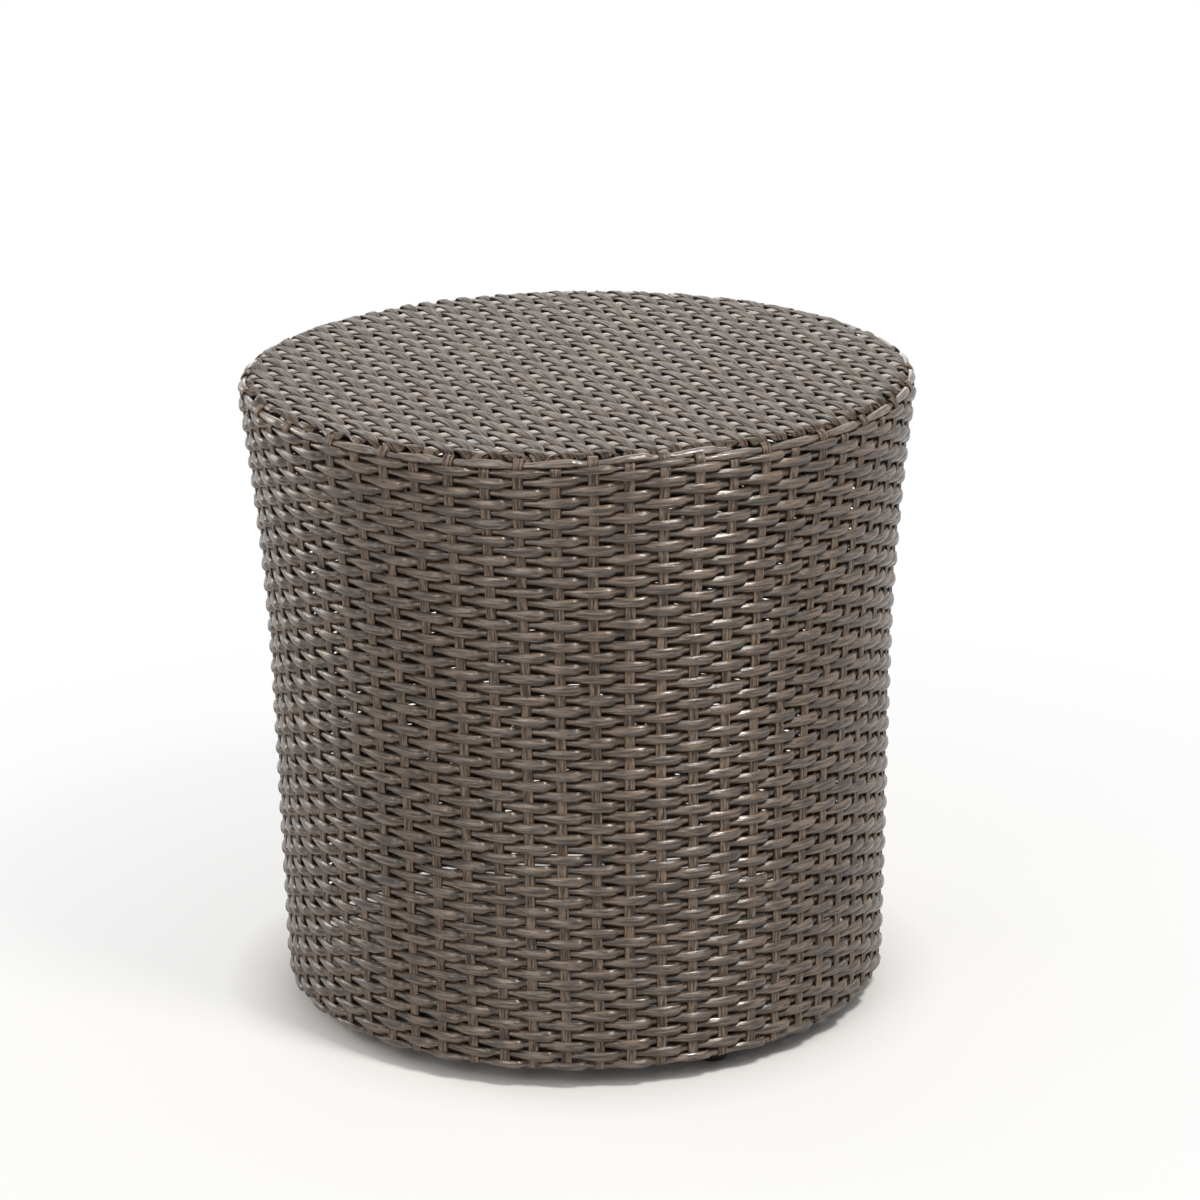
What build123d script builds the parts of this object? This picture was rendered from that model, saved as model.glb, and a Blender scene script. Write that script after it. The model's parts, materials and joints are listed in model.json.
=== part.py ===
from build123d import *
import os
from math import asin, atan, ceil, copysign, cos, degrees, floor, radians, sin, sqrt, tan

# Round woven side table: a welded hoop frame inside a flared drum of woven strand, standing on
# four levelling glides. Millimetres, +Z up, origin on the floor under the middle of the drum.
# The glides stand on the X and Y axes, and the bars under the top run along Y.

os.makedirs("parts", exist_ok=True)

# Outer shape of the drum, measured to the outside of the weave
table_height = 484.2
waist_radius = 235.0
flare_run = 19.0
hem_draw = 4.7
flare_height = 244.2
floor_gap = 13.0

# Weave
weave_thickness = 8.5
rim_inner_radius = 3.5
hem_inner_radius = 1.0
hem_tuck = 2.0
seam_gap = 0.3
skin_gap = 0.5

# Relief of the weave, which swells over the upright stakes of the side and over the level stakes of the top
stake_count = 61
first_stake_angle = -98.5
stake_swell = 1.7
flare_bands = 3
top_stake_pitch = 27.2
top_stake_offset = -6.3
top_swell_width = 12.0
top_swell_rise = 0.9

# Welded frame
ring_tube_diameter = 19.0
ring_wall = 1.5
upright_diameter = 16.0
upright_wall = 1.2
upright_count = 8
bar_diameter = 12.7
bar_wall = 1.2
bar_count = 3
bar_spacing = 115.0
weld_gap = 0.1

# Levelling glides
foot_count = 4
foot_travel = 10.0
pad_diameter = 34.0
pad_floor_diameter = 20.0
pad_thickness = 9.0
pad_edge = 0.8
pad_neck_diameter = 20.0
pad_neck_top_diameter = 16.0
pad_neck_height = 3.0
stud_diameter = 8.0
stud_head_diameter = 12.0
stud_head_height = 3.0
stud_head_floor = 3.0
stud_hex_flats = 13.0
stud_spare = 2.0
stud_end_chamfer = 1.0
swivel_clearance = 0.08
turn_gap = 0.3
tab_width = 32.0
tab_thickness = 3.0
tab_drop = 7.4
tab_hole_clearance = 0.5
nut_flats = 13.0
nut_height = 6.5
nut_side_gap = 1.8
thread_clearance = 0.1

# The wall rises on a slight lean from the hem to the waist, and from there on an arc to the wider top
hem_radius = waist_radius - hem_draw
lower_lean = atan(hem_draw / (flare_height - floor_gap))
flare_rise = table_height - flare_height
flare_bulge = flare_run * cos(lower_lean) - flare_rise * sin(lower_lean)
flare_radius = (flare_rise**2 + flare_run**2) / (2 * flare_bulge)
flare_center_radius = waist_radius + flare_radius * cos(lower_lean)
flare_center_height = flare_height - flare_radius * sin(lower_lean)


def wall_radius(height):
    """Radius of the outside of the weave at a height above the floor."""
    if height <= flare_height:
        return hem_radius + (height - floor_gap) * tan(lower_lean)
    reach = sqrt(flare_radius**2 - (height - flare_center_height) ** 2)
    return flare_center_radius - copysign(reach, flare_radius)


def wall_lean(height):
    """Outward lean of the flared wall at a height, in radians from upright."""
    return asin((height - flare_center_height) / flare_radius)


# The rim rolls over from the flared wall to the flat top
rim_radius = rim_inner_radius + weave_thickness
rim_lean = wall_lean(table_height - rim_radius)
rim_low = table_height - rim_radius * (1 + sin(rim_lean))
rim_center_radius = wall_radius(rim_low) - rim_radius * cos(rim_lean)
rim_center_height = table_height - rim_radius

# Hoops seated inside the hem and inside the rim
ring_radius = ring_tube_diameter / 2
tube_inset = weave_thickness + skin_gap + ring_radius
base_ring_height = floor_gap + tube_inset
base_ring_radius = wall_radius(base_ring_height) - tube_inset
top_ring_height = table_height - tube_inset
top_ring_radius = wall_radius(top_ring_height) - tube_inset
bar_height = table_height - weave_thickness - skin_gap - bar_diameter / 2
bar_end_trim = ring_radius / 2

# Stack of each glide, from the floor up
foot_circle_radius = base_ring_radius - ring_radius - nut_side_gap - nut_flats / 2
pad_height = pad_thickness + pad_neck_height
tab_bottom = base_ring_height - tab_drop
tab_top = tab_bottom + tab_thickness
hex_bottom = pad_height + turn_gap
hex_height = tab_bottom - turn_gap - hex_bottom
stud_top = tab_top + nut_height + foot_travel + stud_spare

on_floor = (Align.CENTER, Align.CENTER, Align.MIN)


def radial_plane(angle):
    """Upright plane through the drum's axis: local X runs outwards, local Y runs up."""
    turn = radians(angle)
    return Plane(origin=(0, 0, 0), x_dir=(cos(turn), sin(turn), 0), z_dir=(sin(turn), -cos(turn), 0))


def foot_plane(angle, height=0):
    """Level plane centred on a glide's axis: local X runs outwards."""
    turn = radians(angle)
    across = foot_circle_radius * cos(turn)
    along = foot_circle_radius * sin(turn)
    return Plane(origin=(across, along, height), x_dir=(cos(turn), sin(turn), 0), z_dir=(0, 0, 1))


def swelling_outline(radius):
    """Closed level line that bulges to a radius over each stake and draws in between them."""
    spacing = 360 / stake_count
    inset = radius - stake_swell
    for stake in range(stake_count):
        angle = first_stake_angle + stake * spacing
        crest = Vector(radius, 0).rotate(Axis.Z, angle)
        ThreePointArc(
            Vector(inset, 0).rotate(Axis.Z, angle - spacing / 2),
            crest,
            Vector(inset, 0).rotate(Axis.Z, angle + spacing / 2),
        )


def write_piece(piece, name):
    """Labels a finished piece and writes its file."""
    piece.part.label = name
    export_step(piece.part, f"parts/{name}.step")


def make_hoop(hoop_radius, hoop_height):
    """Closed hoop of bent tube."""
    with BuildPart() as hoop:
        with BuildSketch(Plane.XZ):
            with Locations((hoop_radius, hoop_height)):
                Circle(ring_radius)
                Circle(ring_radius - ring_wall, mode=Mode.SUBTRACT)
        revolve(axis=Axis.Z)
    return hoop


def make_upright(angle):
    """Tube that follows the wall from hoop to hoop, coped round both."""
    low_end = (base_ring_radius, base_ring_height)
    bend = (waist_radius - tube_inset, flare_height)
    high_end = (top_ring_radius, top_ring_height)
    with BuildPart() as upright:
        with BuildLine(radial_plane(angle)) as route:
            straight = Line(low_end, bend)
            TangentArc(bend, high_end, tangent=(sin(lower_lean), cos(lower_lean)))
        with BuildSketch(Plane(origin=straight @ 0, z_dir=straight % 0)):
            Circle(upright_diameter / 2)
            Circle(upright_diameter / 2 - upright_wall, mode=Mode.SUBTRACT)
        sweep(path=route.line)
        with Locations((0, 0, base_ring_height)):
            Torus(base_ring_radius, ring_radius + weld_gap, mode=Mode.SUBTRACT)
        with Locations((0, 0, top_ring_height)):
            Torus(top_ring_radius, ring_radius + weld_gap, mode=Mode.SUBTRACT)
    return upright


def make_crossbar(offset):
    """Tube across the top hoop, coped round it at both ends."""
    half_length = sqrt(top_ring_radius**2 - offset**2) - bar_end_trim
    with BuildPart() as bar:
        with BuildSketch(Plane.XZ):
            with Locations((offset, bar_height)):
                Circle(bar_diameter / 2)
                Circle(bar_diameter / 2 - bar_wall, mode=Mode.SUBTRACT)
        extrude(amount=half_length, both=True)
        with Locations((0, 0, top_ring_height)):
            Torus(top_ring_radius, ring_radius + weld_gap, mode=Mode.SUBTRACT)
    return bar


def make_tab(angle):
    """Plate welded to the inside of the base hoop, with a clearance hole for the stud."""
    with BuildPart() as tab:
        with BuildSketch(foot_plane(angle, tab_bottom)):
            Circle(tab_width / 2)
            Rectangle(base_ring_radius - foot_circle_radius, tab_width, align=(Align.MIN, Align.CENTER))
            Circle(stud_diameter / 2 + tab_hole_clearance, mode=Mode.SUBTRACT)
        extrude(amount=tab_thickness)
        with Locations((0, 0, base_ring_height)):
            Torus(base_ring_radius, ring_radius + weld_gap, mode=Mode.SUBTRACT)
    return tab


def make_nut(angle):
    """Hexagon weld nut that sits on the tab."""
    with BuildPart() as nut:
        with BuildSketch(foot_plane(angle, tab_top)):
            RegularPolygon(nut_flats / 2, 6, major_radius=False, rotation=30)
            Circle(stud_diameter / 2 + thread_clearance, mode=Mode.SUBTRACT)
        extrude(amount=nut_height)
    return nut


def make_stud(angle):
    """Stud with a round head that swivels in the pad and a hexagon to turn it by."""
    with BuildPart(foot_plane(angle)) as stud:
        with Locations((0, 0, stud_head_floor)):
            Cylinder(stud_head_diameter / 2, stud_head_height, align=on_floor)
            Cylinder(stud_diameter / 2, stud_top - stud_head_floor, align=on_floor)
        chamfer(stud.edges().group_by(Axis.Z)[-1], stud_end_chamfer)
        with BuildSketch(foot_plane(angle, hex_bottom)):
            RegularPolygon(stud_hex_flats / 2, 6, major_radius=False)
        extrude(amount=hex_height)
    return stud


def make_pad(angle):
    """Round pad that narrows to the floor, with a short neck and a socket that the stud's head turns in."""
    with BuildPart(foot_plane(angle)) as pad:
        Cone(pad_floor_diameter / 2, pad_diameter / 2, pad_thickness, align=on_floor)
        chamfer(pad.edges().filter_by(GeomType.CIRCLE), pad_edge)
        with Locations((0, 0, pad_thickness)):
            Cone(pad_neck_diameter / 2, pad_neck_top_diameter / 2, pad_neck_height, align=on_floor)
        with Locations((0, 0, stud_head_floor - swivel_clearance)):
            Cylinder(
                stud_head_diameter / 2 + swivel_clearance,
                stud_head_height + 2 * swivel_clearance,
                align=on_floor,
                mode=Mode.SUBTRACT,
            )
        with Locations((0, 0, stud_head_floor)):
            Cylinder(stud_diameter / 2 + swivel_clearance, pad_height, align=on_floor, mode=Mode.SUBTRACT)
    return pad


# Frame: two hoops, the uprights between them and the bars under the top
write_piece(make_hoop(base_ring_radius, base_ring_height), "base_ring")
write_piece(make_hoop(top_ring_radius, top_ring_height), "top_ring")

for number in range(upright_count):
    upright_angle = (number + 0.5) * 360 / upright_count
    write_piece(make_upright(upright_angle), f"upright_{number + 1}")

for number in range(bar_count):
    bar_offset = (number - (bar_count - 1) / 2) * bar_spacing
    write_piece(make_crossbar(bar_offset), f"crossbar_{number + 1}")

# Levelling glides and what holds them
for number in range(foot_count):
    foot_angle = number * 360 / foot_count
    write_piece(make_tab(foot_angle), f"foot_tab_{number + 1}")
    write_piece(make_nut(foot_angle), f"foot_nut_{number + 1}")
    write_piece(make_stud(foot_angle), f"foot_stud_{number + 1}")
    write_piece(make_pad(foot_angle), f"foot_pad_{number + 1}")

# Woven side: flared wall that swells over each stake, with a hem that rolls in under the base hoop
hem_corner = hem_inner_radius + weave_thickness
hem_middle = radians(45)
hem_bend = hem_corner * (1 - sin(hem_middle))
hem_top = floor_gap + weave_thickness
hem_end_radius = base_ring_radius - hem_tuck
side_top = rim_low - seam_gap
inner_side_top = side_top + weave_thickness * tan(rim_lean)
flare_top = max(side_top, inner_side_top) + seam_gap
outline_sections = [
    (floor_gap, wall_radius(floor_gap) - hem_corner),
    (floor_gap + hem_bend, wall_radius(floor_gap + hem_bend) - hem_bend),
    (floor_gap + hem_corner, wall_radius(floor_gap + hem_corner)),
]
for band in range(flare_bands + 1):
    band_height = flare_height + (flare_top - flare_height) * band / flare_bands
    outline_sections.append((band_height, wall_radius(band_height)))

inner_top = (wall_radius(inner_side_top) - weave_thickness, inner_side_top)
inner_waist = (waist_radius - weave_thickness, flare_height)
inner_low = (wall_radius(hem_top) - weave_thickness, hem_top)
trim_radius = wall_radius(side_top) + stake_swell
trim_end = (trim_radius, side_top - stake_swell * tan(rim_lean))

with BuildPart() as woven_side:
    for section_height, section_radius in outline_sections:
        with BuildSketch(Plane.XY.offset(section_height)):
            with BuildLine():
                swelling_outline(section_radius)
            make_face()
    loft(ruled=True)
    with BuildSketch(Plane.XZ) as hollow:
        with BuildLine():
            Polyline((0, 0), (hem_end_radius, 0), (hem_end_radius, hem_top), inner_low, inner_waist)
            TangentArc(inner_waist, inner_top, tangent=(sin(lower_lean), cos(lower_lean)))
            Polyline(inner_top, trim_end, (trim_radius, table_height), (0, table_height), (0, 0))
        make_face()
        fillet(hollow.vertices().sort_by_distance(inner_low)[0], hem_inner_radius)
    revolve(axis=Axis.Z, mode=Mode.SUBTRACT)
write_piece(woven_side, "woven_side")

# Woven top: flat disc that lies on the top hoop and the bars, a little higher along each of its stakes
disc_radius = rim_center_radius - seam_gap
stake_reach = disc_radius - top_swell_width
first_top_stake = ceil((-stake_reach - top_stake_offset) / top_stake_pitch)
last_top_stake = floor((stake_reach - top_stake_offset) / top_stake_pitch)

with BuildPart() as woven_top:
    with BuildSketch(Plane.XY.offset(table_height - weave_thickness)):
        Circle(disc_radius)
    extrude(amount=weave_thickness - top_swell_rise)
    with BuildSketch(Plane.XY.offset(table_height - top_swell_rise)):
        for stake in range(first_top_stake, last_top_stake + 1):
            with Locations((0, top_stake_offset + stake * top_stake_pitch)):
                Rectangle(2 * disc_radius, top_swell_width)
        Circle(disc_radius, mode=Mode.INTERSECT)
    extrude(amount=top_swell_rise)
write_piece(woven_top, "woven_top")

# Rim binding: the rolled edge between side and top
rim_turn = degrees(rim_lean)
with BuildPart() as rim_binding:
    with BuildSketch(Plane.XZ):
        with BuildLine():
            rim_center = (rim_center_radius, rim_center_height)
            rim_outside = CenterArc(rim_center, rim_radius, -rim_turn, 90 + rim_turn)
            rim_inside = CenterArc(rim_center, rim_inner_radius, -rim_turn, 90 + rim_turn)
            Line(rim_outside @ 0, rim_inside @ 0)
            Line(rim_outside @ 1, rim_inside @ 1)
        make_face()
    revolve(axis=Axis.Z)
write_piece(rim_binding, "rim_binding")
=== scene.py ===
import json
from math import asin, atan, cos, pi, radians, sin, tan

import bpy
import numpy as np
from mathutils import Matrix, Vector


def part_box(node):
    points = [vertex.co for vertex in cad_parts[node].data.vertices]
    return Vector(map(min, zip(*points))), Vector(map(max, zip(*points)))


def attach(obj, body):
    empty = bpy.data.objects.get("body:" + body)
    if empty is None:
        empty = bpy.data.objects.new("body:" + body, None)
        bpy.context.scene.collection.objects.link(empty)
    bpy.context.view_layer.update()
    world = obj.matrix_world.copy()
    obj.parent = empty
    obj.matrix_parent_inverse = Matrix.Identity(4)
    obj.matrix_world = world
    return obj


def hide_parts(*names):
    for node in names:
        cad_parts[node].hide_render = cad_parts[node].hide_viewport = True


# Looks of a round woven side table: every strand of the weave is a mesh of its own path, laid on
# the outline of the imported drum. Metres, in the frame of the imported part.

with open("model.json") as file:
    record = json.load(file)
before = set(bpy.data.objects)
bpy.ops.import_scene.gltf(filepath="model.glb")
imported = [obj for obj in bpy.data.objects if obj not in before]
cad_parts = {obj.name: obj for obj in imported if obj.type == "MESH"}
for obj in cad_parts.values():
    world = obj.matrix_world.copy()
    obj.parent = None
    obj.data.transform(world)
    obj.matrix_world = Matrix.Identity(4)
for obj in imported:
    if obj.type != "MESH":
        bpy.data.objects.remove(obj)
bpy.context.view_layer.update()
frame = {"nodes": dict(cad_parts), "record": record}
RANDOM_SEED = 61
rng = np.random.default_rng(RANDOM_SEED)
MM = 0.001

# Outline of the drum, to the outside of the weave
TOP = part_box("woven_top")[1].z
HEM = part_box("woven_side")[0].z
HEM_RADIUS = 230.3 * MM
WAIST_RADIUS = 235.0 * MM
TOP_RADIUS = 254.0 * MM
FLARE_HEIGHT = 244.2 * MM
RIM_RADIUS = 12.0 * MM
HEM_CORNER = 4.5 * MM
HEM_END_RADIUS = 210.2 * MM
TOP_MARGIN = 30.0 * MM
OUTLINE_STEP = 0.25 * MM
ARC_POINTS = 40
SAME_POINT = 1e-7

# Strands of the side
STAKES = 61
STAKE_WIDTH = 7.9 * MM
STAKE_THICK = 1.6 * MM
STAKE_SWING = 0.35 * MM
WEAVER_WIDTH = 8.6 * MM
WEAVER_BACK_WIDTH = 8.1 * MM
WEAVER_THICK = 3.0 * MM
WEAVER_SWING = 1.7 * MM
STAKE_DEPTH = WEAVER_SWING + WEAVER_THICK / 2

# Rings along the side's stakes: a step apart, and half a step at the hem and near the rim
STAKE_STEP = 2.6 * MM
STAKE_FINE_STRETCH = 14.0 * MM
STAKE_SECTORS = 4

# A float spans two crossings: behind one stake and over the next
FLOAT_SPAN = 2

# One float of the side's weaver, from behind a stake, over the next and in again, to the right:
# place in crossings, how far out (1) or in (-1), and width as a share of the full one
FLOAT = np.array([
    (-1.00, -1.00, 0.77),
    (-0.82, -0.97, 0.60),
    (-0.66, -0.72, 0.64),
    (-0.48, -0.25, 0.74),
    (-0.30, 0.28, 0.87),
    (-0.12, 0.72, 0.96),
    (0.06, 0.95, 1.00),
    (0.26, 1.00, 1.00),
    (0.42, 0.95, 0.99),
    (0.50, 0.67, 0.95),
    (0.56, 0.15, 0.88),
    (0.62, -0.42, 0.77),
    (0.69, -0.83, 0.66),
    (0.82, -1.00, 0.63),
])

# Rows of the side: one weaver that spirals up from the hem, passes into level rows, each with a
# short climb to the next, and ends along the rim
ROWS_TO_RIM = 59
FIRST_ROW = 7.3 * MM
RIM_ROW_SHARE = 0.50
SPIRAL_START = radians(-98.5)
LEVEL_ROWS = 10
LEVEL_BLEND_ROWS = 8
RIM_RAMP = 0.10
RIM_BLEND = 0.04
RIM_DEPTH = 2.5 * MM
RIM_SWING = 1.0 * MM
BANDS = 5

# Lowest rows: they swing less, and the first lies further in, under the hem
HEM_SWING = 0.25
HEM_SWING_TURNS = 2.2
HEM_INSET = 4.0 * MM
HEM_INSET_TURNS = 0.9
HEM_INSET_BLEND = 1.1

# Ends of the side's stakes: tucked in at the hem, and at the rim every other one folds over the
# rim strand and goes down inside it, while the rest end behind it
RISE_START = 7.5 * MM
RISE_LENGTH = 6.0 * MM
FOLD_REACH = 10.0 * MM
FOLD_DEPTH = 1.3 * MM
FOLD_DROP = 8.0 * MM
FOLD_DROP_START = 4.5 * MM
FOLD_DROP_LENGTH = 5.5 * MM
PLAIN_REACH = 3.5 * MM
PLAIN_SINK = 1.5 * MM
HEM_TUCK = 3.0 * MM

# One float of a top weaver in the same way, towards +Y: low and narrow under a stake and just beyond it
TOP_FLOAT = np.array([
    (-1.00, -0.95, 0.58),
    (-0.86, -1.00, 0.46),
    (-0.74, -0.98, 0.44),
    (-0.63, -0.85, 0.50),
    (-0.53, -0.45, 0.72),
    (-0.44, -0.02, 0.92),
    (-0.30, 0.40, 1.00),
    (-0.12, 0.75, 1.00),
    (0.08, 0.97, 1.00),
    (0.28, 1.00, 1.00),
    (0.46, 0.72, 1.00),
    (0.62, 0.25, 1.00),
    (0.76, -0.30, 0.95),
    (0.88, -0.75, 0.80),
])

# Weave of the top: weavers along Y, closer together towards the sides, and stakes along X
TOP_WEAVER_PITCH = 8.16 * MM
TOP_WEAVER_PHASE = 2.5 * MM
TOP_WEAVER_WIDTH = 8.6 * MM
TOP_WEAVER_SHIFT = 1.2 * MM
TOP_WEAVER_THICK = 1.8 * MM
TOP_WEAVER_SWING = 1.0 * MM
TOP_WEAVER_MARGIN = 1.5 * MM
TOP_CROWDING = 0.012
TOP_CROWDING_POWER = 6
TOP_STAKE_PITCH = 27.2 * MM
TOP_STAKE_PHASE = -6.3 * MM
TOP_STAKE_WIDTH = 10.0 * MM
TOP_STAKE_THICK = 1.6 * MM
TOP_STAKE_SWING = 0.75 * MM
TOP_STAKE_PLATEAU = 2.0
TOP_STAKE_STEP = 1.4 * MM
TOP_STAKE_LEAST_RINGS = 6
TOP_STAKE_MARGIN = 6.0 * MM
TOP_DEPTH = TOP_WEAVER_SWING + TOP_WEAVER_THICK / 2
TOP_EDGE_RADIUS = 244.3 * MM
TOP_EDGE_ROLL = 4.0 * MM
TOP_ROLL_LIMIT = 0.97
REACH_ROUNDS = 6

# Unevenness of the strands, as spreads of random values
LIFT_UNEVEN = 0.19 * MM
SWING_UNEVEN = 0.05
WIDTH_UNEVEN = 0.035
TILT_UNEVEN = 0.10
STAKE_UNEVEN = 0.6 * MM
STAKE_SWAY = 0.45 * MM
STAKE_SWAY_KNOTS = 9
TOP_WEAVER_SWAY = 0.25 * MM
TOP_TILT_UNEVEN = 0.04
TOP_STAKE_SWAY = 0.35 * MM
TOP_STAKE_SWAY_CROSSINGS = 6

# Sections of the strands, as shares of half the width and half the thickness
FACE_TURNS = np.radians([-62, -42, -21, 0, 21, 42, 62])
FACE_ARC_SHARE = 0.86
EDGE_LEVEL = -0.3
BAND_EDGE_TURN = 12
BAND_FACE_POINTS = 7
BAND_FULLNESS = 0.35
BAND_BACK = np.array([(0.7, -0.9), (0, -1.0), (-0.7, -0.9)])
SIDE_GROOVE = 0.5
TOP_GROOVE = 0.8

# Shades of the strands before their own paleness: broad tones, fine streaks and dark dashes
TONE_DARK = (0.067, 0.044, 0.030)
TONE_LIGHT = (0.138, 0.101, 0.075)
STREAK_DARK = (0.018, 0.012, 0.009)
STREAK_LIGHT = (0.262, 0.191, 0.139)
STREAK_SHARE = 0.75
STREAK_GLOSS = 0.06
STREAK_BUMP = 0.45
STREAK_BUMP_DEPTH = 0.25 * MM
STREAK_ROUGHNESS = 0.6
STRAND_SPACING = 97.0
DASH_DARK = (0.030, 0.022, 0.017)
DASH_RANGE = (0.0, 0.35)
DASH_SHARE = (0.75, 0.0)

# Finishes of frame and glides: name, colour, metallic, roughness, scale and depth of the grain
CAD_FINISHES = {
    "frame": ("powder_coat", (0.060, 0.050, 0.043), 0.0, 0.50, 900.0, 0.1 * MM),
    "zinc": ("zinc_plate", (0.55, 0.55, 0.52), 1.0, 0.38, 1500.0, 0.05 * MM),
    "glide": ("moulded_plastic", (0.016, 0.016, 0.017), 0.0, 0.48, 1200.0, 0.08 * MM),
}
GRAIN_SHADES = (0.7, 1.25)
GRAIN_DETAIL = 3.0
GRAIN_GLOSS = 0.1
GRAIN_BUMP = 0.3

# Sockets of a colour mix: share, first and second colour, and the result; and the range of a share
MIX_INPUTS = (0, 6, 7)
MIX_OUTPUT = 2
WHOLE_RANGE = (0.0, 1.0)

# Studio: the floor glows white to the camera, less so close to the drum, a painted shade round its foot
# over its real shadow, and not at all under it
WHITE = (1, 1, 1, 1)
WORLD_LIGHT = 0.22
FLOOR_HALF = 12.0
FLOOR_PAINT = (0.9, 0.9, 0.9, 1)
FLOOR_ROUGHNESS = 0.9
NO_GLOW = (0, 0, 0, 1)
NEAR_GLOW = (0.7, 0.7, 0.7, 1)
NEAR_GLOW_RADIUS = HEM_RADIUS + 50 * MM
FULL_GLOW_RADIUS = 0.9

# The photographed view: the table is turned so that a glide faces right of the camera
VIEW_TURN = radians(28.5)
VIEW_PITCH = radians(18.9)
VIEW_ROLL = radians(0.83)
VIEW_DISTANCE = 3.2
VIEW_LIMIT = 100.0
VIEW_LENS = 126.0
VIEW_SENSOR = 36.0
VIEW_AIM = Vector((0, 0, 0.2342))
FRAME_PIXELS = 1200
AIM_PIXEL = (581.3, 684.7)


def smooth(x):
    """Smooth step from 0 to 1 as x goes from 0 to 1."""
    x = np.clip(x, 0, 1)
    return x * x * (3 - 2 * x)


def flattened(wave, plateau):
    """A wave between -1 and 1 whose crests and troughs are drawn out."""
    return np.tanh(plateau * wave) / np.tanh(plateau)


# Outline as a path from the end of the hem, round the wall and the rim, onto the top

def arc(center, radius, start, end):
    """Points of an arc in the radius and height plane, angles in radians from outwards."""
    turn = np.linspace(start, end, ARC_POINTS)
    return np.stack([center[0] + radius * np.cos(turn), center[1] + radius * np.sin(turn)], 1)


def outline():
    """Distance along the outline, its points and outward normals, hem first, and where the rim begins."""
    lean = atan((WAIST_RADIUS - HEM_RADIUS) / (FLARE_HEIGHT - HEM))
    rise = TOP - FLARE_HEIGHT
    run = TOP_RADIUS - WAIST_RADIUS
    flare = (rise**2 + run**2) / (2 * (run * cos(lean) - rise * sin(lean)))
    flare_center = (WAIST_RADIUS + flare * cos(lean), FLARE_HEIGHT - flare * sin(lean))
    # Where the flare passes into the arc of the rim, found in two steps
    rim_lean = asin((TOP - RIM_RADIUS - flare_center[1]) / flare)
    rim_low = TOP - RIM_RADIUS * (1 + sin(rim_lean))
    rim_lean = asin((rim_low - flare_center[1]) / flare)
    rim_start = flare_center[0] - flare * cos(rim_lean)
    rim_center = (rim_start - RIM_RADIUS * cos(rim_lean), TOP - RIM_RADIUS)
    corner_height = HEM + HEM_CORNER * (1 - sin(lean))
    corner_radius = HEM_RADIUS + (corner_height - HEM) * tan(lean)
    corner_center = (corner_radius - HEM_CORNER * cos(lean), HEM + HEM_CORNER)
    points = np.concatenate([
        [(HEM_END_RADIUS, HEM)],
        arc(corner_center, HEM_CORNER, -pi / 2, -lean),
        arc(flare_center, flare, pi - lean, pi - rim_lean),
        arc(rim_center, RIM_RADIUS, -rim_lean, pi / 2),
        [(rim_center[0] - TOP_MARGIN, TOP)],
    ])
    steps = np.linalg.norm(np.diff(points, axis=0), axis=1)
    points = points[np.append(True, steps > SAME_POINT)]
    along = np.append(0, np.cumsum(np.linalg.norm(np.diff(points, axis=0), axis=1)))
    fine = np.arange(0, along[-1], OUTLINE_STEP)
    line = np.stack([np.interp(fine, along, points[:, n]) for n in range(2)], 1)
    slope = np.gradient(line, fine, axis=0)
    slope /= np.linalg.norm(slope, axis=1, keepdims=True)
    rim_from = along[-1] - TOP_MARGIN - RIM_RADIUS * (pi / 2 + rim_lean)
    return fine, line, np.stack([slope[:, 1], -slope[:, 0]], 1), rim_from


ALONG, LINE, NORMAL, RIM_FROM = outline()
RIM_ROW = RIM_FROM + RIM_ROW_SHARE * RIM_RADIUS * pi / 2
ROW_PITCH = (RIM_ROW - FIRST_ROW) / ROWS_TO_RIM


def on_wall(azimuth, distance, depth):
    """Points at an azimuth and a distance along the outline, sunk by depth below it."""
    radius, height = (np.interp(distance, ALONG, LINE[:, n]) for n in range(2))
    out, up = (np.interp(distance, ALONG, NORMAL[:, n]) for n in range(2))
    radius = radius - out * depth
    return np.stack([radius * np.cos(azimuth), radius * np.sin(azimuth), height - up * depth], -1)


def row_distance(turns):
    """Distance along the outline of the side's weaver after some turns."""
    whole = np.floor(turns)
    stepped = whole + smooth((turns - whole - 1 + RIM_RAMP) / RIM_RAMP)
    level = smooth((turns - ROWS_TO_RIM + LEVEL_ROWS) / LEVEL_BLEND_ROWS)
    return FIRST_ROW + ROW_PITCH * (turns + level * (stepped - turns))


# Sections of the strands

def round_section():
    """Face of a half-round strand: an arc from one edge to the other."""
    sag = (1 - np.cos(FACE_TURNS)) / (1 - np.cos(FACE_TURNS[-1]))
    return np.stack([np.sin(FACE_TURNS) / np.sin(FACE_TURNS[-1]), 1 - FACE_ARC_SHARE * 2 * sag], 1)


def band_section(fullness):
    """Flat strand with rounded edges; the smaller the fullness, the flatter its face."""
    turn = np.radians(np.linspace(180 - BAND_EDGE_TURN, BAND_EDGE_TURN, BAND_FACE_POINTS))
    level = EDGE_LEVEL + (1 - EDGE_LEVEL) * np.sin(turn) ** fullness
    return np.concatenate([np.stack([np.cos(turn), level], 1), BAND_BACK])


def stake_section(groove):
    """Flat strand with two grooves along its face, down to a share of half its thickness."""
    half = [(0.33, groove), (0.6, 1), (0.86, 0.72), (1, EDGE_LEVEL)]
    other_half = [(-across, out) for across, out in reversed(half)]
    return np.array(other_half + [(0, 1)] + half + [(0.6, -1), (-0.6, -1)])


WEAVER_FACE = round_section()
WEAVER_REAR = np.array([(1, -1), (0, -1), (-1, -1)])
BAND_SECTION = band_section(BAND_FULLNESS)
STAKE_SECTION = stake_section(SIDE_GROOVE)
TOP_STAKE_SECTION = stake_section(TOP_GROOVE)


# Meshes of strands

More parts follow.
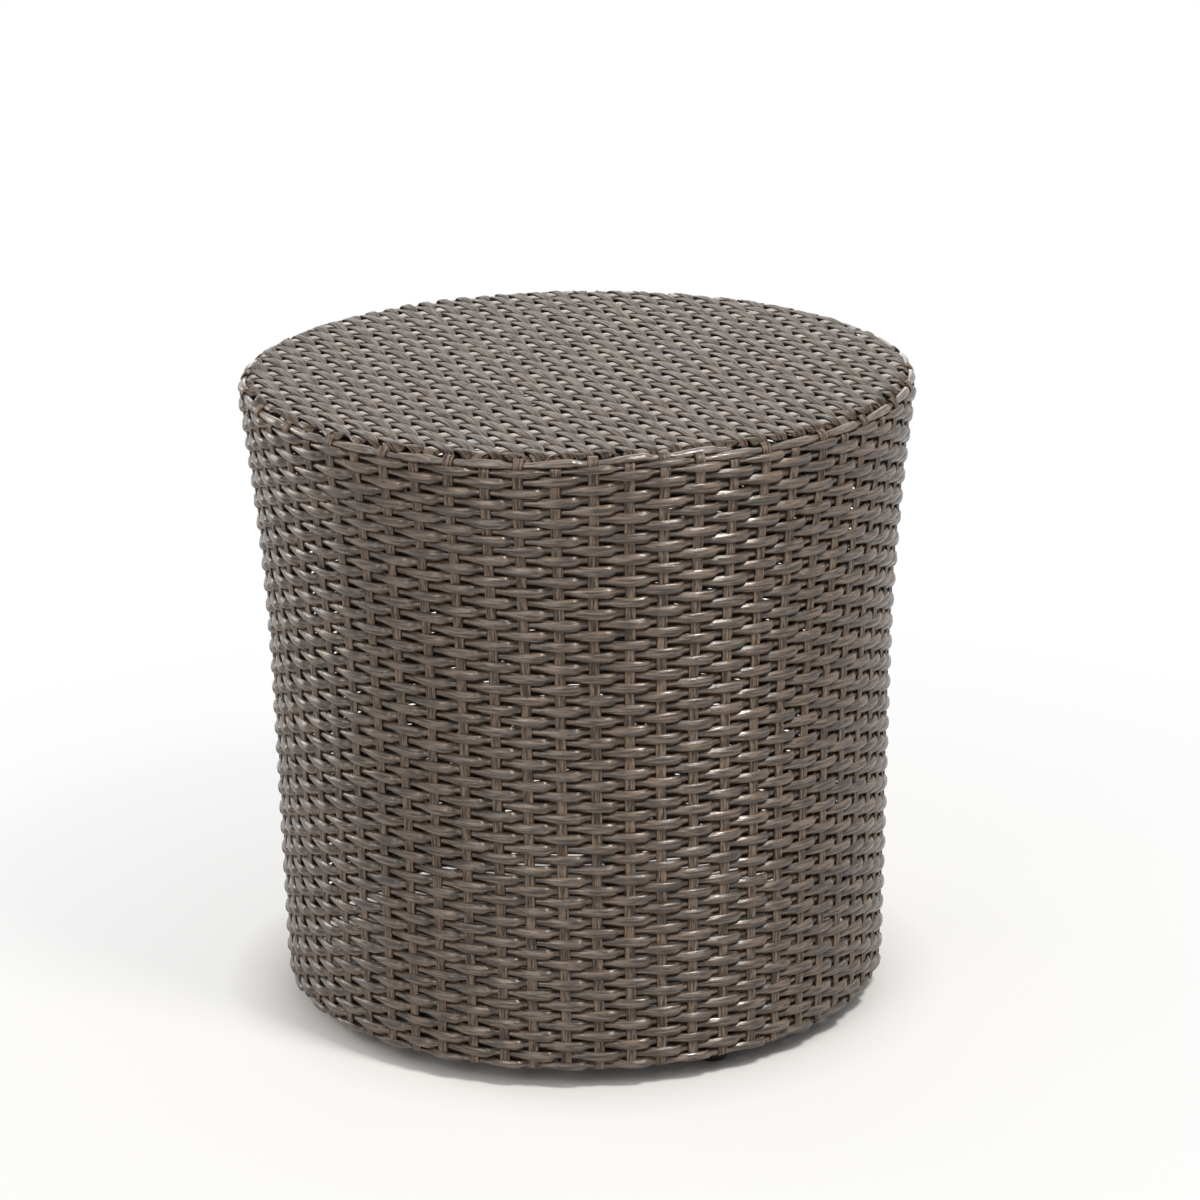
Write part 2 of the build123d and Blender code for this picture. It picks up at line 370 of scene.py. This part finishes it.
def signed_volume(points):
    """Measure of a swept strand's volume, negative where its rings run the other way round."""
    middle = points.mean(axis=1, keepdims=True)
    spread = points - middle
    turn = np.cross(spread, np.roll(spread, -1, axis=1)).sum(axis=1)
    heading = np.gradient(middle[:, 0], axis=0)
    return (turn * heading).sum()


def strand_faces(points, offset):
    """Corner numbers of a strand's quads and of its two end caps, all turned outwards."""
    rings, sides = points.shape[:2]
    index = offset + np.arange(rings * sides).reshape(rings, sides)
    after = np.roll(index, -1, axis=1)
    quads = np.stack([index[:-1], after[:-1], after[1:], index[1:]], -1).reshape(-1, 4)
    caps = np.stack([index[0, ::-1], index[-1]])
    if signed_volume(points) < 0:
        return quads[:, ::-1], caps[:, ::-1]
    return quads, caps


def strand_mesh(name, strands, material):
    """One piece from several strands. A strand is its points, by ring and section, and as many
    coordinates for its finish: along, across and a number of its own."""
    corners, coords, loops, sizes = [], [], [], []
    offset = 0
    for points, finish in strands:
        corners.append(points.reshape(-1, 3))
        coords.append(finish.reshape(-1, 3))
        for faces in strand_faces(points, offset):
            loops.append(faces.ravel())
            sizes.append(np.full(len(faces), faces.shape[1]))
        offset += len(corners[-1])
    corners = np.concatenate(corners)
    loops = np.concatenate(loops)
    starts = np.append(0, np.cumsum(np.concatenate(sizes))[:-1])
    mesh = bpy.data.meshes.new(name)
    mesh.vertices.add(len(corners))
    mesh.vertices.foreach_set("co", corners.astype(np.float32).ravel())
    mesh.loops.add(len(loops))
    mesh.loops.foreach_set("vertex_index", loops.astype(np.int32))
    mesh.polygons.add(len(starts))
    mesh.polygons.foreach_set("loop_start", starts.astype(np.int32))
    mesh.update(calc_edges=True)
    mesh.polygons.foreach_set("use_smooth", np.ones(len(starts), bool))
    finish = mesh.attributes.new("strand", "FLOAT_VECTOR", "POINT")
    finish.data.foreach_set("vector", np.concatenate(coords).astype(np.float32).ravel())
    mesh.materials.append(material)
    piece = bpy.data.objects.new(name, mesh)
    bpy.context.scene.collection.objects.link(piece)
    return piece


def finish_coordinates(length, across, shape):
    """Along, across and own number for each point of a strand."""
    coords = np.empty(shape + (3,))
    coords[..., 0] = length[:, None]
    coords[..., 1] = across
    coords[..., 2] = rng.random()
    return coords


def wander(count, size):
    """Smooth unevenness: a random value at each whole position, to be read in between."""
    return rng.normal(0, size, count + 2)


def between(values, position):
    """Reads such values at any position."""
    return np.interp(position, np.arange(len(values)), values)


def float_places(shape, first, last):
    """Crossings at which a weaver gets a ring: the places of each float, and both ends."""
    floats = FLOAT_SPAN * np.arange(first // FLOAT_SPAN, last // FLOAT_SPAN + 2)
    places = (floats[:, None] + shape[:, 0]).ravel()
    inside = places[(places > first) & (places < last)]
    return np.concatenate([[first], inside, [last]])


def float_levels(shape, crossing):
    """How far out a weaver lies at its crossings, and its share of the full width."""
    return (np.interp(crossing, shape[:, 0], shape[:, n], period=FLOAT_SPAN) for n in (1, 2))


# Side: the spiralling weaver, cut into bands behind stakes, with its last turn as the rim strand

CROSSINGS = (ROWS_TO_RIM + 1) * STAKES
lift_noise = wander(CROSSINGS, LIFT_UNEVEN)
swing_noise = wander(CROSSINGS, SWING_UNEVEN)
width_noise = wander(CROSSINGS, WIDTH_UNEVEN)
tilt_noise = wander(CROSSINGS, TILT_UNEVEN)


def weaver_band(first, last):
    """Stretch of the side's weaver from one crossing of a stake to another."""
    crossing = float_places(FLOAT, first, last)
    turns = crossing / STAKES
    azimuth = SPIRAL_START + 2 * pi * turns
    wave, share = float_levels(FLOAT, crossing)
    rim = smooth((turns - ROWS_TO_RIM + RIM_BLEND / 2) / RIM_BLEND)
    hem = smooth(HEM_SWING_TURNS - turns)
    inset = 1 - smooth((turns - HEM_INSET_TURNS) / HEM_INSET_BLEND)
    swing = (WEAVER_SWING * (1 - rim) + RIM_SWING * rim) * (1 - (1 - HEM_SWING) * hem)
    swing = swing * (1 + between(swing_noise, crossing))
    depth = STAKE_DEPTH * (1 - rim) + RIM_DEPTH * rim - swing * wave
    width = WEAVER_WIDTH * (share + (1 - share) * rim) * (1 + between(width_noise, crossing))
    distance = row_distance(turns) + between(lift_noise, crossing) - HEM_INSET * inset
    face = WEAVER_FACE[:, 0] * width[:, None] / 2
    rear = WEAVER_REAR[:, 0] * WEAVER_BACK_WIDTH / 2 * np.ones((len(crossing), 1))
    across = np.concatenate([face, rear], axis=1)
    tilt = between(tilt_noise, crossing)[:, None] * across
    out = np.concatenate([WEAVER_FACE[:, 1], WEAVER_REAR[:, 1]]) * WEAVER_THICK / 2 + tilt
    points = on_wall(azimuth[:, None], distance[:, None] + across, depth[:, None] - out)
    length = turns * 2 * pi * WAIST_RADIUS
    return points, finish_coordinates(length, across, points.shape[:2])


def make_side_weavers(material, rim_material):
    """Bands of the weaver, each on its own rows, and the rim strand."""
    pieces = []
    rim_crossing = ROWS_TO_RIM * STAKES
    inner_cuts = [2 * round(rim_crossing * n / BANDS / 2) + 1 for n in range(1, BANDS)]
    cuts = [STAKES // 2] + inner_cuts + [rim_crossing]
    for n in range(BANDS):
        piece = strand_mesh(f"side_weaver_{n + 1}", [weaver_band(cuts[n], cuts[n + 1])], material)
        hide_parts("woven_side")
        pieces.append(piece)
    rim = strand_mesh("rim_strand", [weaver_band(rim_crossing, CROSSINGS + 1)], rim_material)
    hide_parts("rim_binding")
    return pieces + [rim]


def side_stake(number):
    """One upright stake: tucked in at the hem, and folded over the rim strand or ended behind it."""
    rows = np.arange(ROWS_TO_RIM + 1)
    crossings = row_distance(rows + number / STAKES)
    top = crossings[-1]
    folded = (ROWS_TO_RIM + number) % 2 == 1
    end = top + (FOLD_REACH if folded else PLAIN_REACH)
    distance = np.arange(0, end, STAKE_STEP / 2)
    coarse = (distance > FIRST_ROW) & (distance < top - STAKE_FINE_STRETCH)
    distance = distance[~coarse | (np.arange(len(distance)) % 2 == 0)]
    phase = np.interp(distance, crossings, rows)
    depth = STAKE_DEPTH + STAKE_SWING * np.cos(pi * (phase + number))
    rim = smooth((distance - top + RISE_START) / RISE_LENGTH)
    if folded:
        depth = depth * (1 - rim) + FOLD_DEPTH * rim
        depth = depth + FOLD_DROP * smooth((distance - top - FOLD_DROP_START) / FOLD_DROP_LENGTH)
    else:
        depth = depth + PLAIN_SINK * rim
    depth = depth + HEM_TUCK * smooth(1 - distance / HEM_TUCK)
    knots = np.linspace(0, len(distance) - 1, STAKE_SWAY_KNOTS)
    sway = np.interp(np.arange(len(distance)), knots, rng.normal(0, STAKE_SWAY, STAKE_SWAY_KNOTS))
    sway = sway + rng.normal(0, STAKE_UNEVEN)
    across = STAKE_SECTION[:, 0] * STAKE_WIDTH / 2 * np.ones((len(distance), 1))
    radius = np.interp(distance, ALONG, LINE[:, 0])[:, None]
    azimuth = SPIRAL_START + 2 * pi * number / STAKES + (across + sway[:, None]) / radius
    out = STAKE_SECTION[:, 1] * STAKE_THICK / 2
    points = on_wall(azimuth, distance[:, None] * np.ones(across.shape), depth[:, None] - out)
    return points, finish_coordinates(distance, across, points.shape[:2])


def make_side_stakes(material):
    """All stakes of the side, a quarter of the drum to a piece."""
    pieces = []
    for numbers in np.array_split(np.arange(STAKES), STAKE_SECTORS):
        name = f"side_stakes_{len(pieces) + 1}"
        piece = strand_mesh(name, [side_stake(n) for n in numbers], material)
        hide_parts("woven_side")
        pieces.append(piece)
    return pieces


# Top: straight strands across the disc, whose ends roll down inside the rim strand

def edge_radius(azimuth):
    """Radius at which the top's strands end, less where the end of the rim strand lies on the top."""
    turn = np.mod(azimuth - SPIRAL_START + pi, 2 * pi) / (2 * pi) - 0.5
    lifted = smooth((turn + RIM_RAMP) / RIM_RAMP) * (1 - smooth(turn * STAKES - 1))
    return TOP_EDGE_RADIUS - ROW_PITCH * lifted


def on_top(x, y, depth):
    """Points under the top's surface, which rolls down at its edge."""
    radius = np.hypot(x, y)
    start = edge_radius(np.arctan2(y, x)) - TOP_EDGE_ROLL
    beyond = np.clip(radius - start, 0, TOP_ROLL_LIMIT * TOP_EDGE_ROLL)
    roll = TOP_EDGE_ROLL - np.sqrt(TOP_EDGE_ROLL**2 - beyond**2)
    return np.stack([x, y, TOP - depth - roll], -1)


def reach(offset, along_y, sign):
    """Where a straight strand at an offset from the middle meets the edge."""
    end = TOP_EDGE_RADIUS
    for _ in range(REACH_ROUNDS):
        azimuth = np.arctan2(sign * end, offset) if along_y else np.arctan2(offset, sign * end)
        end = np.sqrt(max(edge_radius(azimuth) ** 2 - offset**2, 0))
    return sign * end


def top_weaver(number):
    """One weaver of the top, along Y."""
    x = TOP_WEAVER_PHASE + number * TOP_WEAVER_PITCH
    x = x * (1 - TOP_CROWDING * (x / TOP_EDGE_RADIUS) ** TOP_CROWDING_POWER)
    low, high = reach(x, True, -1), reach(x, True, 1)
    first, last = (number + (end - TOP_STAKE_PHASE) / TOP_STAKE_PITCH for end in (low, high))
    crossing = float_places(TOP_FLOAT, first, last)
    y = TOP_STAKE_PHASE + (crossing - number) * TOP_STAKE_PITCH
    knot = crossing - first
    count = int(knot[-1]) + 1
    level, share = float_levels(TOP_FLOAT, crossing)
    swing = TOP_WEAVER_SWING * (1 + between(wander(count, SWING_UNEVEN), knot))
    depth = TOP_DEPTH - swing * level
    width = TOP_WEAVER_WIDTH * share * (1 + between(wander(count, WIDTH_UNEVEN), knot))
    sway = between(wander(count, TOP_WEAVER_SWAY), knot)
    sway = sway - TOP_WEAVER_SHIFT * (1 - level) / 2
    across = BAND_SECTION[:, 0] * width[:, None] / 2
    tilt = between(wander(count, TOP_TILT_UNEVEN), knot)[:, None] * across
    out = BAND_SECTION[:, 1] * TOP_WEAVER_THICK / 2 + tilt
    along = y[:, None] * np.ones(across.shape)
    points = on_top(x + sway[:, None] + across, along, depth[:, None] - out)
    return points, finish_coordinates(y, across, points.shape[:2])


def top_stake(number):
    """One stake of the top, along X."""
    y = TOP_STAKE_PHASE + number * TOP_STAKE_PITCH
    low, high = reach(y, False, -1), reach(y, False, 1)
    x = np.linspace(low, high, int((high - low) / TOP_STAKE_STEP) + TOP_STAKE_LEAST_RINGS)
    crossing = (x - TOP_WEAVER_PHASE) / TOP_WEAVER_PITCH
    wave = flattened(np.cos(pi * (crossing + number)), TOP_STAKE_PLATEAU)
    depth = TOP_DEPTH + TOP_STAKE_SWING * wave
    knot = (crossing - crossing[0]) / TOP_STAKE_SWAY_CROSSINGS
    sway = between(wander(int(knot[-1]) + 1, TOP_STAKE_SWAY), knot)
    across = TOP_STAKE_SECTION[:, 0] * TOP_STAKE_WIDTH / 2 * np.ones((len(x), 1))
    out = TOP_STAKE_SECTION[:, 1] * TOP_STAKE_THICK / 2
    along = x[:, None] * np.ones(across.shape)
    points = on_top(along, y + sway[:, None] + across, depth[:, None] - out)
    return points, finish_coordinates(x, across, points.shape[:2])


def strand_numbers(pitch, phase, margin):
    """Numbers of the strands whose lines cross the disc."""
    limit = TOP_EDGE_RADIUS - margin
    return range(int(np.ceil((-limit - phase) / pitch)), int(np.floor((limit - phase) / pitch)) + 1)


def make_top(weaver_material, stake_material):
    """Weavers of the top in two halves, and its stakes."""
    weavers = strand_numbers(TOP_WEAVER_PITCH, TOP_WEAVER_PHASE, TOP_WEAVER_MARGIN)
    stakes = strand_numbers(TOP_STAKE_PITCH, TOP_STAKE_PHASE, TOP_STAKE_MARGIN)
    half = len(weavers) // 2
    groups = [
        ("top_weavers_1", top_weaver, weavers[:half], weaver_material),
        ("top_weavers_2", top_weaver, weavers[half:], weaver_material),
        ("top_stakes", top_stake, stakes, stake_material),
    ]
    pieces = []
    for name, make_strand, numbers, material in groups:
        piece = strand_mesh(name, [make_strand(n) for n in numbers], material)
        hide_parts("woven_top")
        pieces.append(piece)
    return pieces


# Materials

def new_material(name):
    """Material with its node tree and its shader."""
    material = bpy.data.materials.new(name)
    material.use_nodes = True
    tree = material.node_tree
    return material, tree, tree.nodes["Principled BSDF"]


def add_node(tree, kind, **values):
    """Node of a kind, with its settings and the values of its inputs."""
    node = tree.nodes.new(kind)
    for key, value in values.items():
        if key in node.inputs:
            node.inputs[key].default_value = value
        else:
            setattr(node, key, value)
    return node


def remap(tree, source, start, end):
    """A socket's value, carried from one range to another."""
    node = add_node(tree, "ShaderNodeMapRange")
    for key, value in zip(("From Min", "From Max", "To Min", "To Max"), start + end):
        node.inputs[key].default_value = value
    tree.links.new(source, node.inputs["Value"])
    return node.outputs["Result"]


def mix_colors(tree, share, first, second):
    """Colour between two; share and colours are values or sockets."""
    node = add_node(tree, "ShaderNodeMix", data_type="RGBA", blend_type="MIX")
    for number, value in zip(MIX_INPUTS, (share, first, second)):
        if isinstance(value, bpy.types.NodeSocket):
            tree.links.new(value, node.inputs[number])
        else:
            node.inputs[number].default_value = value
    return node.outputs[MIX_OUTPUT]


def add_bump(tree, shader, height, strength, depth):
    """Raises a shader's surface by the value of a socket."""
    bump = add_node(tree, "ShaderNodeBump", Strength=strength, Distance=depth)
    tree.links.new(height, bump.inputs["Height"])
    tree.links.new(bump.outputs["Normal"], shader.inputs["Normal"])


def streaks(tree, coords, along, across, detail, contrast):
    """Noise drawn out along a strand, spread about its middle by a contrast."""
    stretch = add_node(tree, "ShaderNodeVectorMath", operation="MULTIPLY")
    stretch.inputs[1].default_value = (along, across, STRAND_SPACING)
    tree.links.new(coords, stretch.inputs[0])
    noise = add_node(tree, "ShaderNodeTexNoise", Scale=1.0, Detail=detail, Roughness=STREAK_ROUGHNESS)
    tree.links.new(stretch.outputs[0], noise.inputs["Vector"])
    return remap(tree, noise.outputs["Fac"], (0.5 - contrast, 0.5 + contrast), WHOLE_RANGE)


def strand_material(name, roughness, specular, paleness):
    """Extruded synthetic rattan: grey-brown, streaked lengthwise, semi-gloss."""
    def shade(color):
        return [level * paleness for level in color] + [1]

    material, tree, shader = new_material(name)
    coords = add_node(tree, "ShaderNodeAttribute", attribute_name="strand").outputs["Vector"]
    broad = streaks(tree, coords, along=16.0, across=90.0, detail=2.0, contrast=0.16)
    fine = streaks(tree, coords, along=62.0, across=700.0, detail=3.0, contrast=0.085)
    dashes = streaks(tree, coords, along=95.0, across=1100.0, detail=2.0, contrast=0.14)
    tone = mix_colors(tree, broad, shade(TONE_DARK), shade(TONE_LIGHT))
    streak = mix_colors(tree, fine, shade(STREAK_DARK), shade(STREAK_LIGHT))
    color = mix_colors(tree, STREAK_SHARE, tone, streak)
    color = mix_colors(tree, remap(tree, dashes, DASH_RANGE, DASH_SHARE), color, shade(DASH_DARK))
    tree.links.new(color, shader.inputs["Base Color"])
    shader.inputs["Specular IOR Level"].default_value = specular
    rough = remap(tree, fine, WHOLE_RANGE, (roughness + STREAK_GLOSS, roughness - STREAK_GLOSS))
    tree.links.new(rough, shader.inputs["Roughness"])
    add_bump(tree, shader, fine, STREAK_BUMP, STREAK_BUMP_DEPTH)
    return material


def grained_material(name, color, metallic, roughness, grain, depth):
    """Even finish with a fine grain in its colour, roughness and surface."""
    material, tree, shader = new_material(name)
    place = add_node(tree, "ShaderNodeTexCoord").outputs["Object"]
    noise = add_node(tree, "ShaderNodeTexNoise", Scale=grain, Detail=GRAIN_DETAIL)
    tree.links.new(place, noise.inputs["Vector"])
    level = noise.outputs["Fac"]
    darker, lighter = ([channel * share for channel in color] + [1] for share in GRAIN_SHADES)
    tree.links.new(mix_colors(tree, level, darker, lighter), shader.inputs["Base Color"])
    rough = remap(tree, level, WHOLE_RANGE, (roughness - GRAIN_GLOSS, roughness + GRAIN_GLOSS))
    tree.links.new(rough, shader.inputs["Roughness"])
    shader.inputs["Metallic"].default_value = metallic
    add_bump(tree, shader, level, GRAIN_BUMP, depth)
    return material


def finish_cad_nodes():
    """Powder coat on the frame, plated steel on studs and nuts, moulded plastic on the pads."""
    finishes = {slot: grained_material(*values) for slot, values in CAD_FINISHES.items()}
    for entry in frame["record"]["subparts"]:
        if entry["material_slot"] in finishes:
            node = frame["nodes"][entry["node"]]
            node.data.materials.clear()
            node.data.materials.append(finishes[entry["material_slot"]])


# Studio: white floor and backdrop, soft lamps, and the camera of the photograph

def camera_ray_share(tree):
    """1 for rays from the camera, from gloss and through clear things, and 0 for light."""
    path = add_node(tree, "ShaderNodeLightPath")
    first = add_node(tree, "ShaderNodeMath", operation="MAXIMUM")
    both = add_node(tree, "ShaderNodeMath", operation="MAXIMUM")
    tree.links.new(path.outputs["Is Camera Ray"], first.inputs[0])
    tree.links.new(path.outputs["Is Glossy Ray"], first.inputs[1])
    tree.links.new(first.outputs[0], both.inputs[0])
    tree.links.new(path.outputs["Is Transmission Ray"], both.inputs[1])
    return both.outputs[0]


def make_world():
    """White to the camera and in reflections, dimmer as a light."""
    world = bpy.data.worlds.new("studio")
    world.use_nodes = True
    bpy.context.scene.world = world
    tree = world.node_tree
    sky = tree.nodes["Background"]
    sky.inputs["Color"].default_value = WHITE
    level = remap(tree, camera_ray_share(tree), WHOLE_RANGE, (WORLD_LIGHT, 1.0))
    tree.links.new(level, sky.inputs["Strength"])


def floor_glow_share(tree):
    """Share of its glow in what the floor shows, by the distance from the middle: dimmer close to the
    drum, a painted shade round its foot.
    """
    place = add_node(tree, "ShaderNodeNewGeometry").outputs["Position"]
    distance = add_node(tree, "ShaderNodeVectorMath", operation="LENGTH")
    tree.links.new(place, distance.inputs[0])
    around = add_node(tree, "ShaderNodeValToRGB")
    under, near = around.color_ramp.elements
    under.position = HEM_END_RADIUS
    under.color = NO_GLOW
    near.position = NEAR_GLOW_RADIUS
    near.color = NEAR_GLOW
    around.color_ramp.elements.new(FULL_GLOW_RADIUS).color = WHITE
    tree.links.new(distance.outputs["Value"], around.inputs["Fac"])
    share = add_node(tree, "ShaderNodeMath", operation="MULTIPLY")
    tree.links.new(around.outputs["Color"], share.inputs[1])
    tree.links.new(camera_ray_share(tree), share.inputs[0])
    return share.outputs[0]


def make_floor():
    """White floor that keeps a soft shadow."""
    mesh = bpy.data.meshes.new("floor")
    corners = [(FLOOR_HALF * x, FLOOR_HALF * y, 0) for x, y in ((-1, -1), (1, -1), (1, 1), (-1, 1))]
    mesh.from_pydata(corners, [], [(0, 1, 2, 3)])
    floor = bpy.data.objects.new("floor", mesh)
    bpy.context.scene.collection.objects.link(floor)
    material, tree, shader = new_material("floor_white")
    shader.inputs["Base Color"].default_value = FLOOR_PAINT
    shader.inputs["Roughness"].default_value = FLOOR_ROUGHNESS
    glow = add_node(tree, "ShaderNodeEmission", Color=WHITE, Strength=1.0)
    blend = add_node(tree, "ShaderNodeMixShader")
    tree.links.new(floor_glow_share(tree), blend.inputs[0])
    tree.links.new(shader.outputs[0], blend.inputs[1])
    tree.links.new(glow.outputs[0], blend.inputs[2])
    tree.links.new(blend.outputs[0], tree.nodes["Material Output"].inputs["Surface"])
    mesh.materials.append(material)


def view_turned(point):
    """A point given as seen by the camera (right, away, up), in the part's frame."""
    return Matrix.Rotation(-VIEW_TURN, 4, "Z") @ Vector(point)


def make_lamp(name, place, size, power, color):
    """Soft square lamp aimed at the drum."""
    lamp = bpy.data.lights.new(name, "AREA")
    lamp.size = size
    lamp.energy = power
    lamp.color = color
    thing = bpy.data.objects.new(name, lamp)
    thing.location = view_turned(place)
    aim = VIEW_AIM - thing.location
    thing.rotation_euler = aim.to_track_quat("-Z", "Y").to_euler()
    bpy.context.scene.collection.objects.link(thing)


def make_lights():
    """A broad lamp at the front left, a small one high on the right, and two behind the drum."""
    make_lamp("main", place=(-1.3, -2.1, 1.6), size=1.2, power=17.0, color=(1.0, 0.95, 0.89))
    make_lamp("high_right", place=(0.95, -1.1, 2.45), size=0.5, power=48.5, color=(1.0, 0.95, 0.89))
    make_lamp("left_rim", place=(-1.8, 0.9, 0.9), size=0.8, power=12.0, color=(1.0, 0.92, 0.83))
    make_lamp("back", place=(0.05, 2.3, 1.25), size=1.6, power=13.0, color=(1.0, 0.97, 0.94))


def make_camera():
    """Long lens at the photograph's height, turn and roll."""
    data = bpy.data.cameras.new("camera")
    data.sensor_width = VIEW_SENSOR
    data.lens = VIEW_LENS
    data.shift_x = (FRAME_PIXELS / 2 - AIM_PIXEL[0]) / FRAME_PIXELS
    data.shift_y = (AIM_PIXEL[1] - FRAME_PIXELS / 2) / FRAME_PIXELS
    data.clip_end = VIEW_LIMIT
    camera = bpy.data.objects.new("camera", data)
    back = view_turned((0, -cos(VIEW_PITCH), sin(VIEW_PITCH)))
    turn = (-back).to_track_quat("-Z", "Y").to_matrix() @ Matrix.Rotation(-VIEW_ROLL, 3, "Z")
    camera.matrix_world = Matrix.Translation(VIEW_AIM + back * VIEW_DISTANCE) @ turn.to_4x4()
    bpy.context.scene.collection.objects.link(camera)
    bpy.context.scene.camera = camera


bpy.context.scene.view_settings.view_transform = "Standard"
side_strand = strand_material("side_strand", roughness=0.28, specular=0.68, paleness=0.85)
# The rim strand is the side's strand made glossier and also paler, a painted light on its upward face
rim_gloss_and_painted_light = strand_material("rim_gloss_and_painted_light", roughness=0.24, specular=1.0, paleness=1.0)
side_stake_strand = strand_material("side_stake_strand", roughness=0.38, specular=0.32, paleness=1.05)
# The top's weavers are the side's strand made darker, a painted shade against the stronger light on the
# top
top_strand_painted_shade = strand_material("top_strand_painted_shade", roughness=0.42, specular=0.12, paleness=0.62)
top_stake_strand = strand_material("top_stake_strand", roughness=0.28, specular=0.62, paleness=1.1)
side_pieces = make_side_weavers(side_strand, rim_gloss_and_painted_light) + make_side_stakes(side_stake_strand)
for woven in side_pieces + make_top(top_strand_painted_shade, top_stake_strand):
    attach(woven, "table")
finish_cad_nodes()
make_world()
make_floor()
make_lights()
make_camera()
